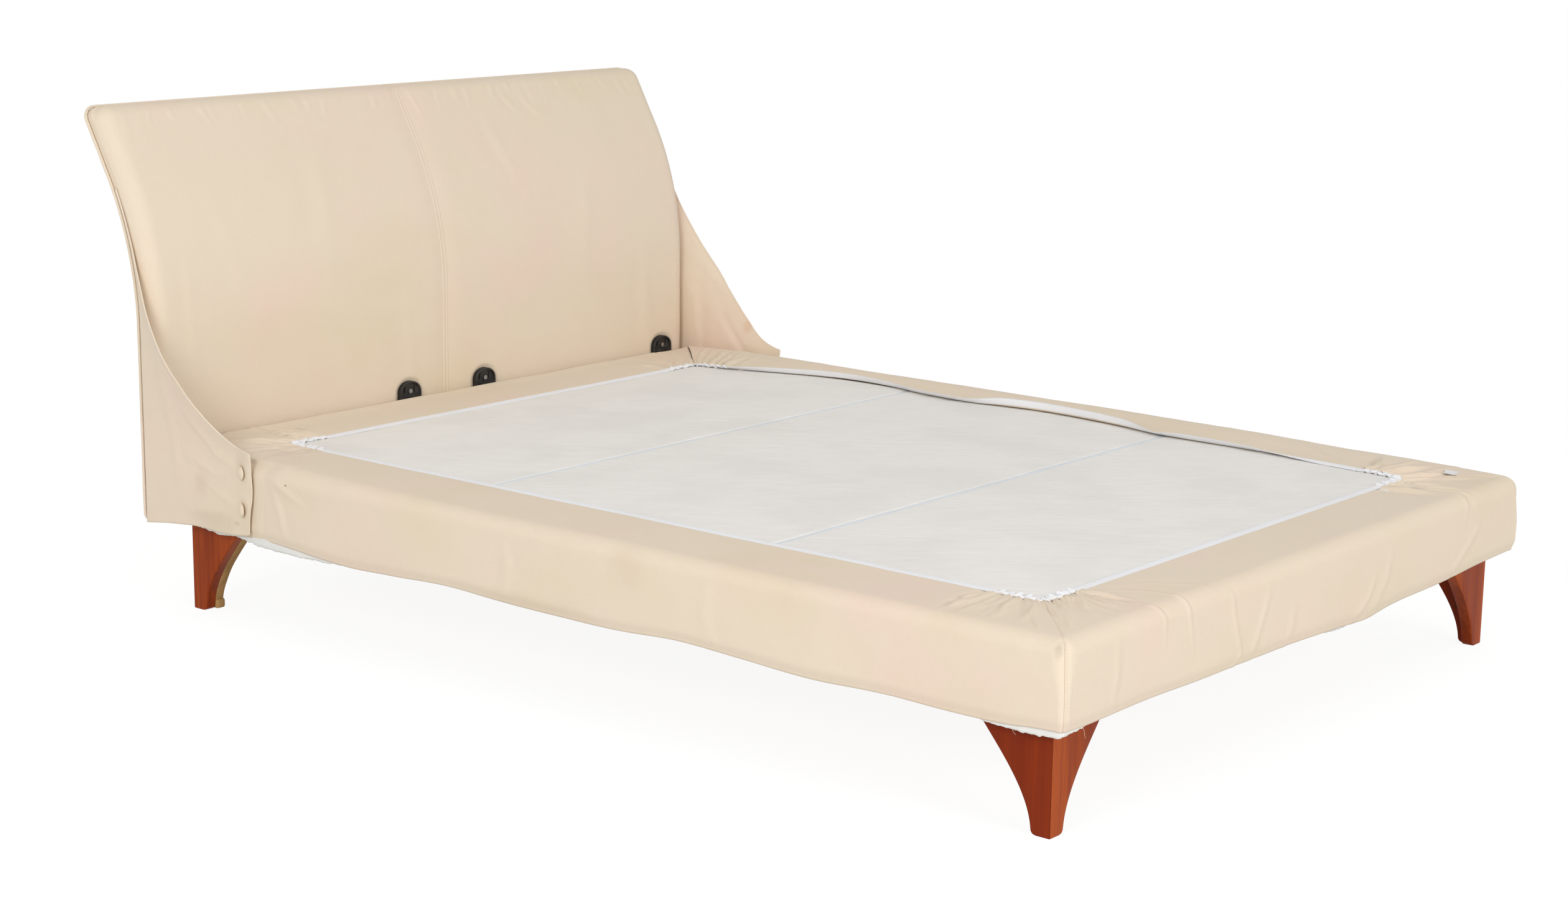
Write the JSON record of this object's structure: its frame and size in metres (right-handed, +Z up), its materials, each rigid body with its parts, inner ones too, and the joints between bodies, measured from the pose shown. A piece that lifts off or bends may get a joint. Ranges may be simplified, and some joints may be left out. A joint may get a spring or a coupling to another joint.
{
  "type": "upholstered platform bed",
  "caption": "Low platform bed in a cream slip cover, with a white panelled deck, a padded headboard that leans back, cloth side wings and mitred bracket legs.",
  "frame": {"origin": "on the floor, under the middle of the whole bed's width and length", "axes": "+X to the right seen from the foot, +Y from foot to head, +Z up"},
  "size_m": [1.6558, 2.3518, 0.9911],
  "materials": {
    "cover_cloth": "plain-woven cream cotton, washed and worn",
    "ticking": "crinkled white quilted ticking",
    "tape": "woven pale blue tape",
    "white_trim": "white woven elastic and lining",
    "foam": "open-cell upholstery foam",
    "stained_wood": "cherry stain under satin lacquer",
    "raw_wood": "sawn, not stained",
    "plywood": "sanded birch plywood",
    "black_plastic": "moulded, satin",
    "steel": "zinc plated"
  },
  "bodies": {
    "root": {"side_rail_left": "plywood", "side_rail_right": "plywood", "foot_rail": "plywood", "head_rail": "plywood", "cross_bearer_foot": "raw_wood", "cross_bearer_head": "raw_wood", "deck_board_foot": "plywood", "deck_board_middle": "plywood", "deck_board_head": "plywood", "deck_pad_foot": "ticking", "deck_pad_middle": "ticking", "deck_pad_head": "ticking", "groove_tapes": "tape", "side_foam_left": "foam", "side_foam_right": "foam", "foot_foam": "foam", "cover_side_left": "cover_cloth", "cover_side_right": "cover_cloth", "cover_foot": "cover_cloth", "cover_head": "cover_cloth", "elastic_binding": "white_trim", "hem_lining": "white_trim", "headboard_shell": "plywood", "headboard_foam": "foam", "headboard_cover_left": "cover_cloth", "headboard_cover_right": "cover_cloth", "headboard_back_cover": "cover_cloth", "headboard_piping": "cover_cloth", "wing_left": "cover_cloth", "wing_right": "cover_cloth", "wing_buttons": "cover_cloth", "bracket_plates": "black_plastic", "bracket_screws": "steel", "headboard_bolts": "steel", "leg_foot_left_side_board": "stained_wood", "leg_foot_left_end_board": "stained_wood", "leg_foot_left_block": "raw_wood", "leg_foot_right_side_board": "stained_wood", "leg_foot_right_end_board": "stained_wood", "leg_foot_right_block": "raw_wood", "leg_head_left_side_board": "stained_wood", "leg_head_left_end_board": "raw_wood", "leg_head_left_block": "raw_wood", "leg_head_right_side_board": "stained_wood", "leg_head_right_end_board": "raw_wood", "leg_head_right_block": "raw_wood", "leg_bolts": "steel", "care_label": "white_trim"}
  },
  "joints": []
}
